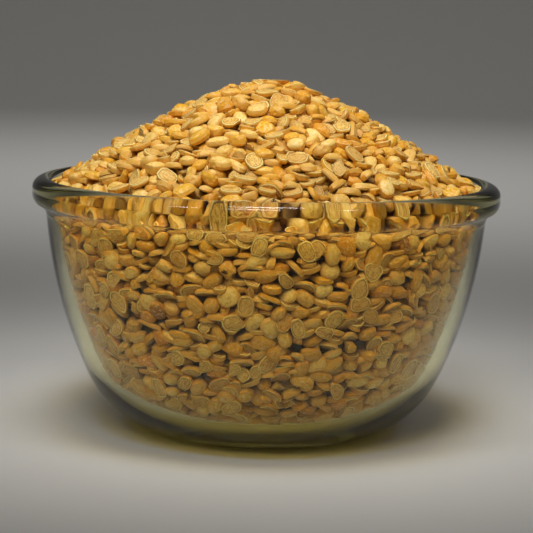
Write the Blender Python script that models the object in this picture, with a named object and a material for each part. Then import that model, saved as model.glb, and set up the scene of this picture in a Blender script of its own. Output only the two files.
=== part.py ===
"""A clear glass bowl heaped with dry split lentils, modelled at its real size.

Metres, +Z up. The origin is the centre of the foot, on the surface that the bowl stands on.
"""

import math
import random

import bmesh
import bpy
from mathutils import Euler, Matrix, Vector

MM = 0.001

# The bowl: overall sizes
BOWL_HEIGHT = 60.0 * MM
CREST_RADIUS = 55.0 * MM  # widest ring of the rolled rim
CREST_DROP = 3.0 * MM  # from the rim's top to its widest ring
BEAD_HEIGHT = 6.6 * MM  # the rolled rim, from its top to its underside
RIM_TOP_RADIUS = 52.1 * MM
COLLAR_DROP = 9.0 * MM  # from the rim's top to where the wall spreads into the bead

# The bowl: outside, from the foot up
FOOT_RADIUS = 20.0 * MM
FOOT_RING_WIDTH = 3.2 * MM
RECESS_DEPTH = 0.8 * MM
OUTER_CORNER_RADIUS = 24.0 * MM
OUTER_WALL_RADIUS = 110.0 * MM
CORNER_LEAN = 25.0  # degrees from upright, where the corner runs into the wall

# The bowl: inside
FLOOR_THICKNESS = 4.8 * MM
FLOOR_RADIUS = 20.1 * MM
INNER_CORNER_RADIUS = 19.0 * MM
INNER_WALL_RADIUS = 160.0 * MM
LIP_DROP = 1.8 * MM  # from the rim's top to where the inner wall starts

BOWL_SIDES = 52
CORNER_STEPS = 4
WALL_STEPS = 3
BEAD_STEPS = 3
LIP_STEPS = 3

# The heap
HEAP_PEAK = 83.2 * MM  # the topmost lentils, above the table
HEAP_EDGE_DROP = 1.4 * MM  # the heap meets the glass this far under the rim's top
HEAP_PEAK_ROUNDING = 16.0 * MM
GLASS_GAP = 0.35 * MM
HEAP_SIDES = 52
HEAP_CORNER_STEPS = 4
HEAP_WALL_STEPS = 6
DOME_ROWS = 5
DENT_DEPTH = 0.9 * MM
DENT_SEED = 11

# One split lentil: a half seed, flat below and domed above
LENTIL_LENGTH = 5.4 * MM
LENTIL_WIDTH = 4.1 * MM
LENTIL_THICKNESS = 1.9 * MM
LENTIL_SIDES = 6
SHOULDER_REACH = 0.74  # share of the outline where the dome turns over
SHOULDER_HEIGHT = 0.68  # share of the thickness

# The lentils that show on top
LENTIL_COUNT = 232
LENTIL_SEED = 7
LENTIL_TILT = 22.0  # degrees, the most that one leans from the heap's slope
LENTIL_SIZE_SPREAD = 0.13
LENTIL_SINK = 0.38  # share of the thickness that lies in the heap
SPOT_JITTER = 0.2  # share of the spacing between two lentils
GOLDEN_ANGLE = math.pi * (3 - math.sqrt(5))

GLASS = {"name": "clear glass", "colour": (0.80, 0.84, 0.74, 0.35), "roughness": 0.03}
SEED = {"name": "split lentils", "colour": (0.78, 0.52, 0.17, 1.0), "roughness": 0.5}
WELD = 0.01 * MM
SHARP_ANGLE = math.radians(50.0)


def clear_scene():
    for obj in list(bpy.data.objects):
        bpy.data.objects.remove(obj, do_unlink=True)


def material(name, colour, roughness):
    made = bpy.data.materials.new(name)
    made.use_nodes = True
    shader = made.node_tree.nodes["Principled BSDF"]
    shader.inputs["Base Color"].default_value = colour
    shader.inputs["Roughness"].default_value = roughness
    shader.inputs["Metallic"].default_value = 0.0
    shader.inputs["Alpha"].default_value = colour[3]
    return made


def object_from(name, shape, skin):
    mesh = bpy.data.meshes.new(name)
    shape.to_mesh(mesh)
    shape.free()
    mesh.materials.append(skin)
    obj = bpy.data.objects.new(name, mesh)
    bpy.context.scene.collection.objects.link(obj)
    return obj


def shade_smooth(obj):
    obj.data.shade_smooth()
    obj.data.set_sharp_from_angle(angle=SHARP_ANGLE)


# Sections, as (radius, height) points


def arc(centre, radius, first, last, steps):
    """Points on a circle. An angle is that of the outward normal below level, in degrees."""
    points = []
    for step in range(steps + 1):
        angle = math.radians(first + (last - first) * step / steps)
        points.append((centre[0] + radius * math.cos(angle), centre[1] - radius * math.sin(angle)))
    return points


def side_of_bowl(flat_radius, floor, corner_radius, wall_radius, top, corner_steps, wall_steps):
    """From the edge of a flat floor round the corner and up the curved wall to top."""
    corner = arc((flat_radius, floor + corner_radius), corner_radius, 90.0, CORNER_LEAN, corner_steps)
    turn = math.radians(CORNER_LEAN)
    start = corner[-1]
    centre = (start[0] - wall_radius * math.cos(turn), start[1] + wall_radius * math.sin(turn))
    top_lean = math.degrees(math.asin((centre[1] - top) / wall_radius))
    return corner + arc(centre, wall_radius, CORNER_LEAN, top_lean, wall_steps)[1:]


def outer_side():
    top = BOWL_HEIGHT - COLLAR_DROP
    return side_of_bowl(
        FOOT_RADIUS, 0.0, OUTER_CORNER_RADIUS, OUTER_WALL_RADIUS, top, CORNER_STEPS, WALL_STEPS
    )


def inner_side(corner_steps=CORNER_STEPS, wall_steps=WALL_STEPS):
    top = BOWL_HEIGHT - LIP_DROP
    return side_of_bowl(
        FLOOR_RADIUS,
        FLOOR_THICKNESS,
        INNER_CORNER_RADIUS,
        INNER_WALL_RADIUS,
        top,
        corner_steps,
        wall_steps,
    )


def rolled_rim(inner_lip):
    """From under the bead outside, round its crest and over the top, to the inner lip."""
    under = [
        (CREST_RADIUS - 1.9 * MM, BOWL_HEIGHT - BEAD_HEIGHT),
        (CREST_RADIUS - 0.5 * MM, BOWL_HEIGHT - 0.8 * BEAD_HEIGHT),
    ]
    over = []
    for step in range(BEAD_STEPS + 1):
        angle = math.radians(90.0 * step / BEAD_STEPS)
        radius = RIM_TOP_RADIUS + (CREST_RADIUS - RIM_TOP_RADIUS) * math.cos(angle)
        over.append((radius, BOWL_HEIGHT - CREST_DROP * (1 - math.sin(angle))))
    lip = []
    for step in range(1, LIP_STEPS):
        angle = math.radians(90.0 * step / LIP_STEPS)
        radius = RIM_TOP_RADIUS - (RIM_TOP_RADIUS - inner_lip[0]) * math.sin(angle)
        lip.append((radius, BOWL_HEIGHT - LIP_DROP * (1 - math.cos(angle))))
    return under + over + lip


def bowl_section():
    """The half section of the glass, from the axis outside to the axis inside."""
    ring_inside = FOOT_RADIUS - FOOT_RING_WIDTH
    recess = [(0.0, RECESS_DEPTH), (ring_inside - RECESS_DEPTH, RECESS_DEPTH), (ring_inside, 0.0)]
    inside = inner_side()
    floor = [(0.0, FLOOR_THICKNESS)]
    return recess + outer_side() + rolled_rim(inside[-1]) + inside[::-1] + floor


def heap_height(radius):
    """Height of the heap's skin: a cone with a rounded peak, which meets the glass under the rim."""
    edge_radius = inner_side()[-1][0]
    edge_height = BOWL_HEIGHT - HEAP_EDGE_DROP
    peak_height = HEAP_PEAK - (1 - LENTIL_SINK) * LENTIL_THICKNESS
    whole_fall = math.hypot(edge_radius, HEAP_PEAK_ROUNDING) - HEAP_PEAK_ROUNDING
    fall = math.hypot(radius, HEAP_PEAK_ROUNDING) - HEAP_PEAK_ROUNDING
    return peak_height - (peak_height - edge_height) * fall / whole_fall


def heap_slope(radius):
    """Angle at which the heap's skin falls away outward."""
    step = 0.1 * MM
    return math.atan2(heap_height(radius - step) - heap_height(radius + step), 2 * step)


def heap_section():
    """The half section of the heap, from the middle of the bowl's floor to the peak."""
    floor = FLOOR_THICKNESS + GLASS_GAP
    wall = [
        (radius - GLASS_GAP, max(height, floor))
        for radius, height in inner_side(HEAP_CORNER_STEPS, HEAP_WALL_STEPS)
    ]
    edge = wall[-1][0]
    dome = []
    for row in range(DOME_ROWS + 1):
        radius = edge * (1 - row / DOME_ROWS)
        dome.append((radius, heap_height(radius)))
    return [(0.0, floor)] + wall[:-1] + dome


# Solids


def turned(section, sides):
    """A bmesh of the section spun round the Z axis. Its first and last points are on the axis."""
    shape = bmesh.new()
    line = [shape.verts.new((radius, 0.0, height)) for radius, height in section]
    edges = [shape.edges.new(pair) for pair in zip(line, line[1:])]
    bmesh.ops.spin(
        shape,
        geom=line + edges,
        axis=(0, 0, 1),
        cent=(0, 0, 0),
        steps=sides,
        angle=2 * math.pi,
        use_merge=False,
    )
    bmesh.ops.remove_doubles(shape, verts=shape.verts, dist=WELD)
    bmesh.ops.recalc_face_normals(shape, faces=shape.faces)
    return shape


def glass_bowl():
    bowl = object_from("bowl", turned(bowl_section(), BOWL_SIDES), material(**GLASS))
    shade_smooth(bowl)
    return bowl


def heap_core():
    """The heap without the lentils that show on top. Its skin is dented at a lentil's spacing."""
    shape = turned(heap_section(), HEAP_SIDES)
    shape.normal_update()
    draw = random.Random(DENT_SEED)
    pushes = [(vert, vert.normal * -draw.uniform(0.0, DENT_DEPTH)) for vert in shape.verts]
    for vert, push in pushes:
        vert.co += push
    bmesh.ops.triangulate(shape, faces=shape.faces)
    return shape


def split_lentil():
    """A bmesh of one half seed of unit length, width and thickness, with its flat face at z 0."""
    shape = bmesh.new()
    bmesh.ops.create_circle(shape, cap_ends=True, segments=LENTIL_SIDES, radius=0.5)
    raised = bmesh.ops.extrude_face_region(shape, geom=shape.faces[:], use_keep_orig=True)["geom"]
    shoulder = [part for part in raised if isinstance(part, bmesh.types.BMVert)]
    bmesh.ops.scale(shape, verts=shoulder, vec=(SHOULDER_REACH, SHOULDER_REACH, 1.0))
    bmesh.ops.translate(shape, verts=shoulder, vec=(0.0, 0.0, SHOULDER_HEIGHT))
    top = [part for part in raised if isinstance(part, bmesh.types.BMFace)]
    crown = bmesh.ops.poke(shape, faces=top)["verts"]
    bmesh.ops.translate(shape, verts=crown, vec=(0.0, 0.0, 1.0 - SHOULDER_HEIGHT))
    bmesh.ops.recalc_face_normals(shape, faces=shape.faces)
    return shape


def lentil_place(index, draw):
    """Where one lentil lies: evenly spaced along a sunflower's spiral, turned and leant at random."""
    clear_radius = inner_side()[-1][0] - GLASS_GAP - LENTIL_LENGTH / 2
    radius = clear_radius * math.sqrt((index + 0.5) / LENTIL_COUNT)
    spacing = clear_radius * math.sqrt(math.pi / LENTIL_COUNT)
    jitter = [SPOT_JITTER * spacing * draw.uniform(-1, 1) for _ in range(2)]
    bearing = index * GOLDEN_ANGLE
    spot = Vector((radius * math.cos(bearing) + jitter[0], radius * math.sin(bearing) + jitter[1], 0))
    if spot.length > clear_radius:
        spot *= clear_radius / spot.length
    out = spot.length
    spot.z = heap_height(out)
    size = [draw.uniform(1 - LENTIL_SIZE_SPREAD, 1 + LENTIL_SIZE_SPREAD) for _ in range(3)]
    lean = [math.radians(draw.uniform(-LENTIL_TILT, LENTIL_TILT)) for _ in range(2)]
    heading = draw.uniform(0.0, 2 * math.pi)
    on_slope = Matrix.Rotation(bearing, 4, "Z") @ Matrix.Rotation(heap_slope(out), 4, "Y")
    turn = Euler((lean[0], lean[1], 0.0)).to_matrix().to_4x4() @ Matrix.Rotation(heading, 4, "Z")
    sink = Matrix.Translation((0.0, 0.0, -LENTIL_SINK * LENTIL_THICKNESS))
    stretch = Matrix.Diagonal(
        (LENTIL_LENGTH * size[0], LENTIL_WIDTH * size[1], LENTIL_THICKNESS * size[2], 1.0)
    )
    return Matrix.Translation(spot) @ on_slope @ sink @ turn @ stretch


def heap_of_lentils():
    """The core with the lentils that show fused on, as one solid."""
    skin = material(**SEED)
    heap = object_from("lentils", heap_core(), skin)
    loose = bpy.data.collections.new("loose lentils")
    bpy.context.scene.collection.children.link(loose)
    draw = random.Random(LENTIL_SEED)
    for index in range(LENTIL_COUNT):
        shape = split_lentil()
        shape.transform(lentil_place(index, draw))
        loose.objects.link(object_from("lentil", shape, skin))
    fuse = heap.modifiers.new("fuse lentils", "BOOLEAN")
    fuse.operation = "UNION"
    fuse.operand_type = "COLLECTION"
    fuse.collection = loose
    fuse.solver = "EXACT"
    bpy.context.view_layer.objects.active = heap
    bpy.ops.object.modifier_apply(modifier=fuse.name)
    for obj in list(loose.objects):
        bpy.data.objects.remove(obj, do_unlink=True)
    bpy.data.collections.remove(loose)
    shade_smooth(heap)
    return heap


def main():
    clear_scene()
    glass_bowl()
    heap_of_lentils()


main()
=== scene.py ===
"""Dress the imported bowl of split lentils: clear pressed glass and thousands of loose grains."""

import logging
import math
from dataclasses import dataclass, field
from enum import Enum

import bpy
import numpy as np
from mathutils import Matrix, Vector

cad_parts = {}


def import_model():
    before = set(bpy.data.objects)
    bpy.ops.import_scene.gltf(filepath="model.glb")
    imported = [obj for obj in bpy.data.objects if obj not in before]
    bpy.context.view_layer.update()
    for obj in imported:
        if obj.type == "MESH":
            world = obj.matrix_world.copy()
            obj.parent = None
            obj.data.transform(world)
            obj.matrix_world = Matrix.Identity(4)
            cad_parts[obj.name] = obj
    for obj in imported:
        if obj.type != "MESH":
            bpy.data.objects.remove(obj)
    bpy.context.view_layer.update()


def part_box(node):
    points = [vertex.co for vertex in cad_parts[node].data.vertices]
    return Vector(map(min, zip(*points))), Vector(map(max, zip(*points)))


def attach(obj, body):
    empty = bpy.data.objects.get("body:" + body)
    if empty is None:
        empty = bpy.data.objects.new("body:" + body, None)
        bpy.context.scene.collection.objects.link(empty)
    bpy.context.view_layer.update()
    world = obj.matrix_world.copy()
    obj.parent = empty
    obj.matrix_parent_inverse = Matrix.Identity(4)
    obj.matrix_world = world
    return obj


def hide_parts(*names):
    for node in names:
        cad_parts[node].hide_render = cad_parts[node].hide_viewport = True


log = logging.getLogger("lentils")

MM = 0.001
BODY = "root"

Socket = bpy.types.NodeSocket


def begin_piece() -> None:
    """Leave edit mode and deselect everything, so that an operator acts on the new piece alone."""
    if bpy.context.mode != "OBJECT":
        bpy.ops.object.mode_set(mode="OBJECT")
    bpy.ops.object.select_all(action="DESELECT")


def finish_piece(obj: bpy.types.Object, name: str, skin: bpy.types.Material) -> None:
    """Name a piece, dress it and let it ride on the body.

    Args:
        obj: The finished piece, at the origin and unturned.
        name: Its name.
        skin: Its material.
    """
    obj.name = name
    obj.data.name = name
    obj.data.materials.clear()
    obj.data.materials.append(skin)
    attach(obj, BODY)
    log.info("%s: %d faces", name, len(obj.data.polygons))


class ShaderTree:
    """A short way to place and join the nodes of one material or node group."""

    def __init__(self, tree: bpy.types.NodeTree) -> None:
        """Keep the tree and empty it.

        Args:
            tree: The node tree to fill.
        """
        self.tree = tree
        tree.nodes.clear()
        self.column = 0

    def node(self, kind: str, links: dict | None = None, **settings: object) -> bpy.types.Node:
        """Add a node.

        Args:
            kind: The node's type name.
            links: Input name or number to an output socket, or to a plain value.
            **settings: The node's own properties.

        Returns:
            The new node.
        """
        made = self.tree.nodes.new(kind)
        self.column += 1
        made.location = (180.0 * self.column, 0.0)
        for key, value in settings.items():
            setattr(made, key, value)
        for key, value in (links or {}).items():
            if isinstance(value, Socket):
                self.tree.links.new(value, made.inputs[key])
            else:
                made.inputs[key].default_value = value
        return made

    def math(self, operation: str, *values: object) -> Socket:
        """Add a Math node and give its result."""
        links = dict(enumerate(values))
        return self.node("ShaderNodeMath", links, operation=operation).outputs[0]

    def between(self, value: object, low: float, high: float) -> Socket:
        """Ease from 0 where the value is low to 1 where it is high."""
        links = {"Value": value, "From Min": low, "From Max": high}
        return self.node("ShaderNodeMapRange", links, interpolation_type="SMOOTHSTEP").outputs["Result"]

    def times(self, first: object, second: object) -> Socket:
        """Multiply two values."""
        return self.math("MULTIPLY", first, second)

    def band(self, value: object, rise: tuple, fall: tuple) -> Socket:
        """Ease from 0 to 1 over a first range of a value and back to 0 over a second."""
        return self.math("SUBTRACT", self.between(value, *rise), self.between(value, *fall))

    def mix(self, share: object, first: object, second: object) -> Socket:
        """Mix two colours.

        Args:
            share: The second colour's share, from 0 to 1.
            first: A colour or a socket.
            second: A colour or a socket.

        Returns:
            The mixed colour.
        """
        made = self.node("ShaderNodeMix", data_type="RGBA")
        for name, value in (("Factor_Float", share), ("A_Color", first), ("B_Color", second)):
            socket = next(put for put in made.inputs if put.identifier == name)
            if isinstance(value, Socket):
                self.tree.links.new(value, socket)
            else:
                socket.default_value = value
        return next(put for put in made.outputs if put.identifier == "Result_Color")

    def finish(self, surface: bpy.types.Node, inside: bpy.types.Node | None = None) -> None:
        """Join the surface's shader, and the one inside if there is one, to the output."""
        links = {"Surface": surface.outputs[0]} | ({"Volume": inside.outputs[0]} if inside else {})
        self.node("ShaderNodeOutputMaterial", links)


def new_material(name: str) -> tuple[bpy.types.Material, ShaderTree]:
    """Start a material.

    Args:
        name: Its name.

    Returns:
        The material and its empty tree.
    """
    made = bpy.data.materials.new(name)
    made.use_nodes = True
    return made, ShaderTree(made.node_tree)


def linear(red: int, green: int, blue: int) -> tuple[float, float, float, float]:
    """Turn a display colour into the linear colour that shaders take.

    Args:
        red: From 0 to 255, as the others.
        green: The green part.
        blue: The blue part.

    Returns:
        The linear parts and an alpha of 1.
    """
    parts = []
    for part in (red, green, blue):
        share = part / 255.0
        parts.append(share / 12.92 if share <= 0.04045 else ((share + 0.055) / 1.055) ** 2.4)
    return (*parts, 1.0)


# The bowl's form


@dataclass
class BowlForm:
    """The section of the glass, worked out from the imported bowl's width and height.

    Lengths are in metres. The corner and the wall are two arcs that meet where the wall leans
    by corner_lean from upright.
    """

    height: float
    crest_radius: float
    crest_drop: float = 3.0 * MM
    bead_height: float = 6.3 * MM
    bead_undercut: float = 1.9 * MM
    seam_depth: float = 0.07 * MM
    rim_top_inset: float = 2.9 * MM
    collar_drop: float = 9.0 * MM
    foot_radius: float = 20.0 * MM
    foot_ring_width: float = 3.2 * MM
    recess_depth: float = 0.8 * MM
    recess_slope: float = 2.5
    outer_corner: float = 24.0 * MM
    outer_wall: float = 110.0 * MM
    floor: float = 4.8 * MM
    floor_radius: float = 20.5 * MM
    inner_corner: float = 21.0 * MM
    inner_wall: float = 120.0 * MM
    lip_drop: float = 1.8 * MM
    corner_lean: float = math.radians(25.0)
    corner_steps: int = 14
    wall_steps: int = 12
    neck_steps: int = 6
    bead_steps: int = 16
    recess_steps: int = 7

    def arc(self, centre: tuple, radius: float, first: float, last: float, steps: int) -> list:
        """Points on a circle, by the angle of its outward normal below level."""
        angles = np.linspace(first, last, steps + 1)
        return [(centre[0] + radius * math.cos(a), centre[1] - radius * math.sin(a)) for a in angles]

    def seam_lean(self, bulge: float) -> float:
        """How far past level a roll that bulges by a given amount goes on, to make the seam's depth."""
        return math.acos(1.0 - self.seam_depth / bulge)

    def centres(self, flat: float, floor: float, corner: float, wall: float) -> tuple:
        """Find the centres of a side's two arcs.

        Args:
            flat: Radius where the flat floor ends.
            floor: The floor's height.
            corner: The corner arc's radius.
            wall: The wall arc's radius.

        Returns:
            The corner arc's centre and the wall arc's.
        """
        first = (flat, floor + corner)
        reach = corner - wall
        cos, sin = math.cos(self.corner_lean), math.sin(self.corner_lean)
        return first, (first[0] + reach * cos, first[1] - reach * sin)

    def side(self, flat: float, floor: float, corner: float, wall: float, top: float) -> list:
        """Go from the edge of a flat floor round the corner and up the wall.

        Args:
            flat: Radius where the flat floor ends.
            floor: The floor's height.
            corner: The corner arc's radius.
            wall: The wall arc's radius.
            top: The height to go up to.

        Returns:
            Radius and height of each point.
        """
        first, second = self.centres(flat, floor, corner, wall)
        rise = self.arc(first, corner, math.pi / 2, self.corner_lean, self.corner_steps)
        end = math.asin((second[1] - top) / wall)
        return rise + self.arc(second, wall, self.corner_lean, end, self.wall_steps)[1:]

    def outer_side(self) -> list:
        """The outside, from the foot to under the bead."""
        top = self.height - self.collar_drop
        return self.side(self.foot_radius, 0.0, self.outer_corner, self.outer_wall, top)

    def inner_side(self) -> list:
        """The inside, from the floor to the lip."""
        top = self.height - self.lip_drop
        return self.side(self.floor_radius, self.floor, self.inner_corner, self.inner_wall, top)

    def rim(self, lip: tuple[float, float]) -> list:
        """The rolled rim, from under the bead outside, over the top, to the inner lip.

        Two rolls lie on each other and meet in a shallow seam, where the halves of the mould met.

        Args:
            lip: Radius and height of the inner wall's end.

        Returns:
            The rim's points.
        """
        crest, top = self.crest_radius, self.height
        start = self.outer_side()[-1]
        under = (crest - self.bead_undercut, top - self.bead_height)
        points = []
        for share in np.linspace(0.0, 1.0, self.neck_steps)[1:]:
            reach = start[0] + (under[0] - start[0]) * share * share
            points.append((reach, start[1] + (under[1] - start[1]) * share))
        seam = top - self.crest_drop
        lean = self.seam_lean(self.bead_undercut)
        half = (self.bead_height - self.crest_drop) / (1.0 + math.sin(lean))
        for angle in np.linspace(math.pi / 2, -lean, self.bead_steps)[1:]:
            reach = under[0] + self.bead_undercut * math.cos(angle)
            points.append((reach, under[1] + half * (1.0 - math.sin(angle))))
        crown = crest - self.rim_top_inset
        lean = self.seam_lean(self.rim_top_inset)
        half = self.crest_drop / (1.0 + math.sin(lean))
        for angle in np.linspace(-lean, math.pi / 2, self.bead_steps + 2)[1:]:
            reach = crown + self.rim_top_inset * math.cos(angle)
            points.append((reach, seam + half * (math.sin(lean) + math.sin(angle))))
        for angle in np.linspace(0.0, math.pi / 2, self.bead_steps)[1:-1]:
            reach = crown - (crown - lip[0]) * math.sin(angle)
            points.append((reach, top - self.lip_drop * (1.0 - math.cos(angle))))
        return points

    def foot(self) -> list:
        """The recess under the floor.

        Returns:
            Its points, from the axis to the inside of the foot's ring.
        """
        ring = self.foot_radius - self.foot_ring_width
        depth = self.recess_depth
        slope = []
        for share in np.linspace(0.0, 1.0, self.recess_steps):
            reach = ring - depth * self.recess_slope * (1.0 - share)
            slope.append((reach, depth * (1.0 - share * share * (3.0 - 2.0 * share))))
        return [(0.0, depth), (ring * 0.5, depth)] + slope

    def section(self) -> list:
        """Put the whole half section together.

        Returns:
            Its points, from the axis outside to the axis inside.
        """
        inside = self.inner_side()
        middle = [(self.floor_radius * 0.5, self.floor), (0.0, self.floor)]
        return self.foot() + self.outer_side() + self.rim(inside[-1]) + inside[::-1] + middle


@dataclass
class HeapForm:
    """The space that the lentils fill: the inside of the glass and the heap above the rim."""

    bowl: BowlForm
    peak: float
    edge_drop: float = 1.4 * MM
    rounding: float = 16.0 * MM
    crown_steps: int = 12

    def __post_init__(self) -> None:
        """Work out the arcs' centres and the heap's fall."""
        bowl = self.bowl
        self.corner_centre, self.wall_centre = bowl.centres(
            bowl.floor_radius, bowl.floor, bowl.inner_corner, bowl.inner_wall
        )
        self.edge_radius = bowl.inner_side()[-1][0]
        self.edge_height = bowl.height - self.edge_drop
        whole = math.hypot(self.edge_radius, self.rounding) - self.rounding
        self.fall = (self.peak - self.edge_height) / whole

    def to_glass(self, radius: np.ndarray, height: np.ndarray) -> tuple:
        """How far points lie inside the glass.

        Args:
            radius: Distances from the bowl's axis.
            height: Heights above the table.

        Returns:
            The distance to the glass, and the radial and upright parts of the direction to it.
        """
        bowl = self.bowl
        corner_r, corner_z = radius - self.corner_centre[0], height - self.corner_centre[1]
        wall_r, wall_z = radius - self.wall_centre[0], height - self.wall_centre[1]
        corner_reach = np.maximum(np.hypot(corner_r, corner_z), 1e-9)
        wall_reach = np.hypot(wall_r, wall_z)
        low = np.arctan2(-corner_z, corner_r) > bowl.corner_lean
        flat = low & (radius < self.corner_centre[0])
        gap = np.where(low, bowl.inner_corner - corner_reach, bowl.inner_wall - wall_reach)
        out = np.where(low, corner_r / corner_reach, wall_r / wall_reach)
        up = np.where(low, corner_z / corner_reach, wall_z / wall_reach)
        return np.where(flat, height - bowl.floor, gap), np.where(flat, 0.0, out), np.where(flat, -1.0, up)

    def skin_height(self, radius: np.ndarray) -> np.ndarray:
        """Height of the heap's skin at a distance from the axis."""
        return self.peak - self.fall * (np.hypot(radius, self.rounding) - self.rounding)

    def to_skin(self, radius: np.ndarray, height: np.ndarray) -> tuple:
        """How far points lie under the heap's skin.

        Args:
            radius: Distances from the bowl's axis.
            height: Heights above the table.

        Returns:
            The distance to the skin, and the radial and upright parts of the direction to it.
        """
        slope = self.fall * radius / np.hypot(radius, self.rounding)
        steep = 1.0 / np.sqrt(1.0 + slope * slope)
        return (self.skin_height(radius) - height) * steep, slope * steep, steep

    def depths(self, points: np.ndarray) -> tuple:
        """Distances to the glass and to the skin.

        Args:
            points: Places, in rows.

        Returns:
            For the glass and then the skin, the distances and the unit vectors towards it.
        """
        radius = np.hypot(points[:, 0], points[:, 1])
        across = points[:, :2] / np.maximum(radius, 1e-9)[:, None]
        found = []
        for gap, out, up in (self.to_glass(radius, points[:, 2]), self.to_skin(radius, points[:, 2])):
            found += [gap, np.column_stack([across * out[:, None], up])]
        return tuple(found)

    def outline(self, inset: float) -> np.ndarray:
        """Draw the heap's half section.

        Args:
            inset: How far it is moved inwards.

        Returns:
            Its points, from the floor to the peak.
        """
        line = [(0.0, self.bowl.floor)] + [p for p in self.bowl.inner_side() if p[1] < self.edge_height]
        line = np.array(line)
        _, out, up = self.to_glass(line[:, 0], line[:, 1])
        side = line - inset * np.column_stack([out, up])
        crown = np.linspace(self.edge_radius, 0.0, self.crown_steps)
        _, out, up = self.to_skin(crown, self.skin_height(crown))
        top = np.column_stack([crown, self.skin_height(crown)]) - inset * np.column_stack([out, up])
        return np.vstack([side[side[:, 1] < top[0, 1]], top[top[:, 0] > 0.0], [[0.0, self.peak - inset]]])


def turned(name: str, section: list, steps: int) -> bpy.types.Object:
    """Draw a half section point by point and spin it round the Z axis.

    Args:
        name: The piece's name.
        section: Radius and height of each point, from the axis round to the axis.
        steps: How many steps the full turn takes.

    Returns:
        The closed turned piece.
    """
    begin_piece()
    bpy.ops.mesh.primitive_plane_add(size=MM, location=(0.0, 0.0, 0.0))
    obj = bpy.context.object
    obj.name = name
    bpy.ops.object.mode_set(mode="EDIT")
    bpy.ops.mesh.select_all(action="SELECT")
    bpy.ops.mesh.merge(type="CENTER")
    place = Vector((section[0][0], 0.0, section[0][1]))
    bpy.ops.transform.translate(value=place)
    for radius, height in section[1:]:
        point = Vector((radius, 0.0, height))
        bpy.ops.mesh.extrude_region_move(TRANSFORM_OT_translate={"value": point - place})
        place = point
    bpy.ops.mesh.select_all(action="SELECT")
    bpy.ops.mesh.spin(steps=steps, angle=2.0 * math.pi, center=(0.0, 0.0, 0.0), axis=(0.0, 0.0, 1.0))
    bpy.ops.mesh.select_all(action="SELECT")
    bpy.ops.mesh.remove_doubles(threshold=0.01 * MM)
    bpy.ops.mesh.normals_make_consistent(inside=False)
    bpy.ops.object.mode_set(mode="OBJECT")
    return obj


def triangle_mesh(name: str, points: np.ndarray, triangles: np.ndarray) -> bpy.types.Mesh:
    """Make a mesh of triangles.

    Args:
        name: Its name.
        points: Its points, in rows.
        triangles: The three points of each triangle, by row number.

    Returns:
        The mesh.
    """
    mesh = bpy.data.meshes.new(name)
    mesh.vertices.add(len(points))
    mesh.vertices.foreach_set("co", points.astype(np.float32).ravel())
    mesh.loops.add(triangles.size)
    mesh.loops.foreach_set("vertex_index", triangles.astype(np.int32).ravel())
    mesh.polygons.add(len(triangles))
    mesh.polygons.foreach_set("loop_start", np.arange(0, triangles.size, 3, dtype=np.int32))
    mesh.update(calc_edges=True)
    return mesh


def add_vectors(mesh: bpy.types.Mesh, name: str, values: np.ndarray) -> None:
    """Give a mesh's points three numbers each, for its finish to read.

    Args:
        mesh: The mesh.
        name: What the finish calls them.
        values: The numbers, with a row for each point.
    """
    layer = mesh.attributes.new(name, "FLOAT_VECTOR", "POINT")
    layer.data.foreach_set("vector", values.astype(np.float32).ravel())


# The grains


class GrainKind(Enum):
    """The kinds of grain in the heap, each of which becomes one piece."""

    LONG = "long_halves"
    BROAD = "broad_halves"
    SLANT = "slanted_halves"
    WHOLE = "whole_seeds"
    CHIP = "broken_halves"


@dataclass(frozen=True)
class GrainSize:
    """How large and how full the grains of one kind are.

    Lengths are in metres, and the spreads are shares of the mean. Fullness is 2 for an
    ellipsoid and more for blunt ends.
    """

    share: float
    length: float
    width_share: float
    thick: float
    fullness: float
    length_spread: float = 0.085
    width_spread: float = 0.07
    thick_spread: float = 0.10


GRAIN_SIZES = {
    GrainKind.LONG: GrainSize(0.28, 5.3 * MM, 0.65, 1.60 * MM, 3.0),
    GrainKind.BROAD: GrainSize(0.28, 4.9 * MM, 0.79, 1.50 * MM, 2.5),
    GrainKind.SLANT: GrainSize(0.28, 5.1 * MM, 0.71, 1.60 * MM, 2.7),
    GrainKind.WHOLE: GrainSize(0.07, 4.6 * MM, 0.74, 2.9 * MM, 2.3),
    GrainKind.CHIP: GrainSize(0.09, 3.7 * MM, 0.82, 1.45 * MM, 2.6),
}


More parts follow.
